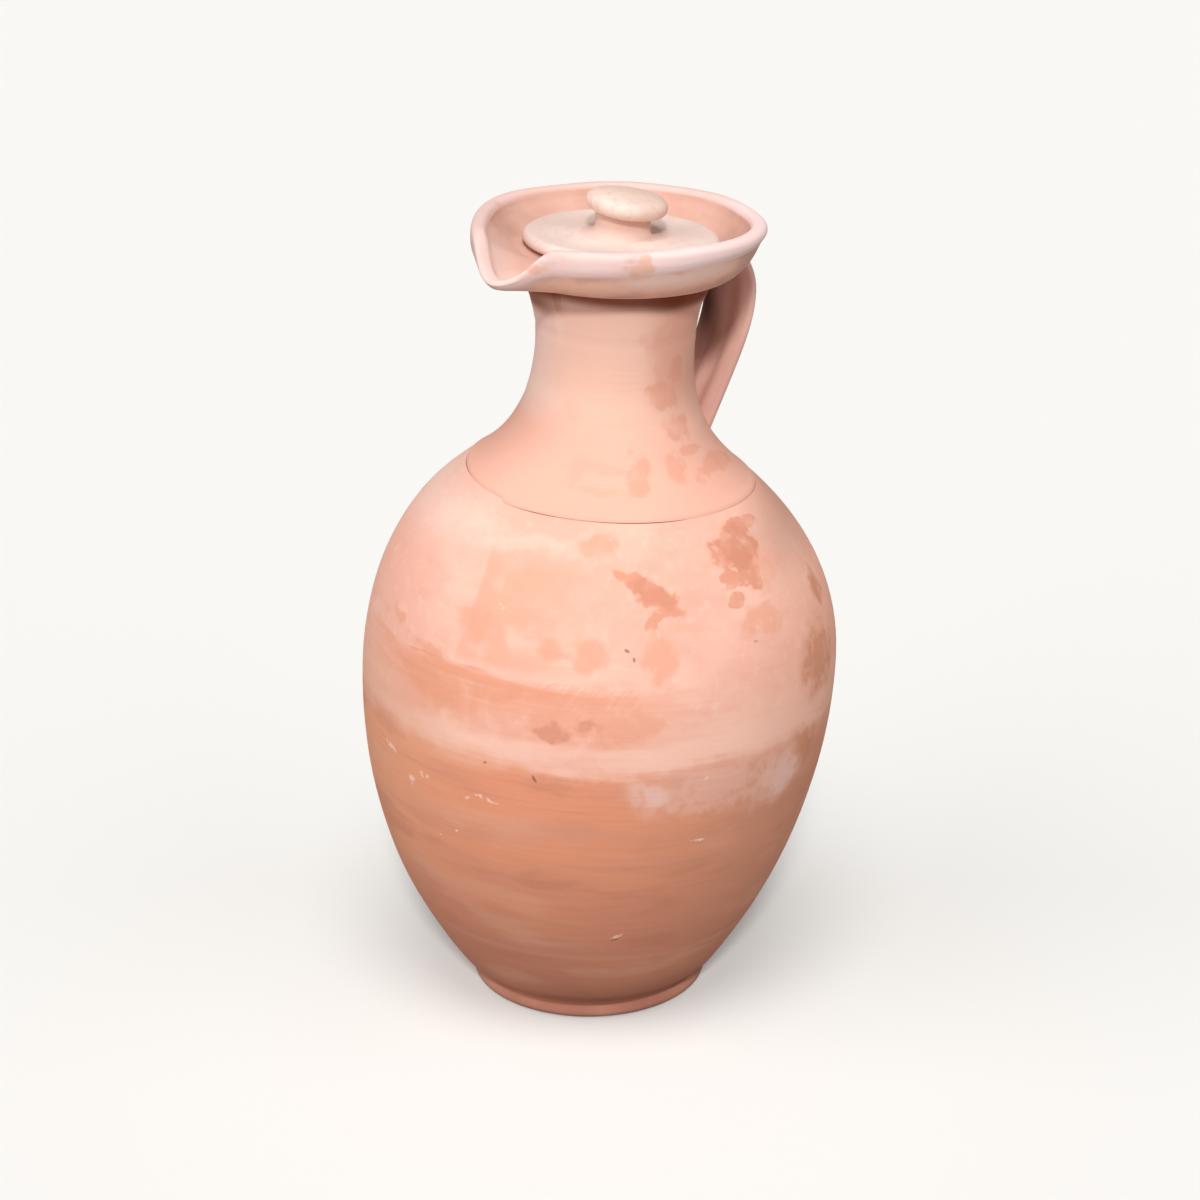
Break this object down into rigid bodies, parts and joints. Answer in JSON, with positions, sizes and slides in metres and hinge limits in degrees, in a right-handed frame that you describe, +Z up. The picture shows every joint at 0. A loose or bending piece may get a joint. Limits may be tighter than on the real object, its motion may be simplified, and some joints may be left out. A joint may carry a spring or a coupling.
{
  "type": "water jar",
  "caption": "Unglazed terracotta water jar with a round belly, narrow neck, pouring dish with a pulled spout, strap handle and a loose lid with a pinched knob.",
  "frame": {"origin": "centre of the flat base, on the surface that the jar stands on", "axes": "+Z up, +X towards the handle, -X towards the spout; the neck leans a little towards +X and -Y"},
  "size_m": [0.1944, 0.1944, 0.3396],
  "materials": {
    "foot_clay": "unglazed fired clay, rubbed smooth at the rolled edge",
    "belly_clay": "unglazed fired clay with wheel marks, pale bloom above and bare clay below",
    "neck_clay": "unglazed fired clay with a pale bloom and darker stains",
    "dish_clay": "unglazed fired clay with a whitish bloom on the lip",
    "handle_clay": "unglazed fired clay, pulled, with finger grooves along it",
    "lid_clay": "unglazed fired clay with a dusty grey-beige bloom"
  },
  "bodies": {
    "jar": {"foot_disc": "foot_clay", "belly_wall": "belly_clay", "neck_collar": "neck_clay", "pouring_dish": "dish_clay", "strap_handle": "handle_clay"},
    "lid": {"lid_plate": "lid_clay", "lid_stem": "lid_clay", "lid_knob": "lid_clay"}
  },
  "joints": [
    {"name": "lid_lift", "type": "slide", "parent": "jar", "child": "lid", "axis": [0.0407, -0.0407, 0.9983], "range_m": [0, 0.06]}
  ]
}
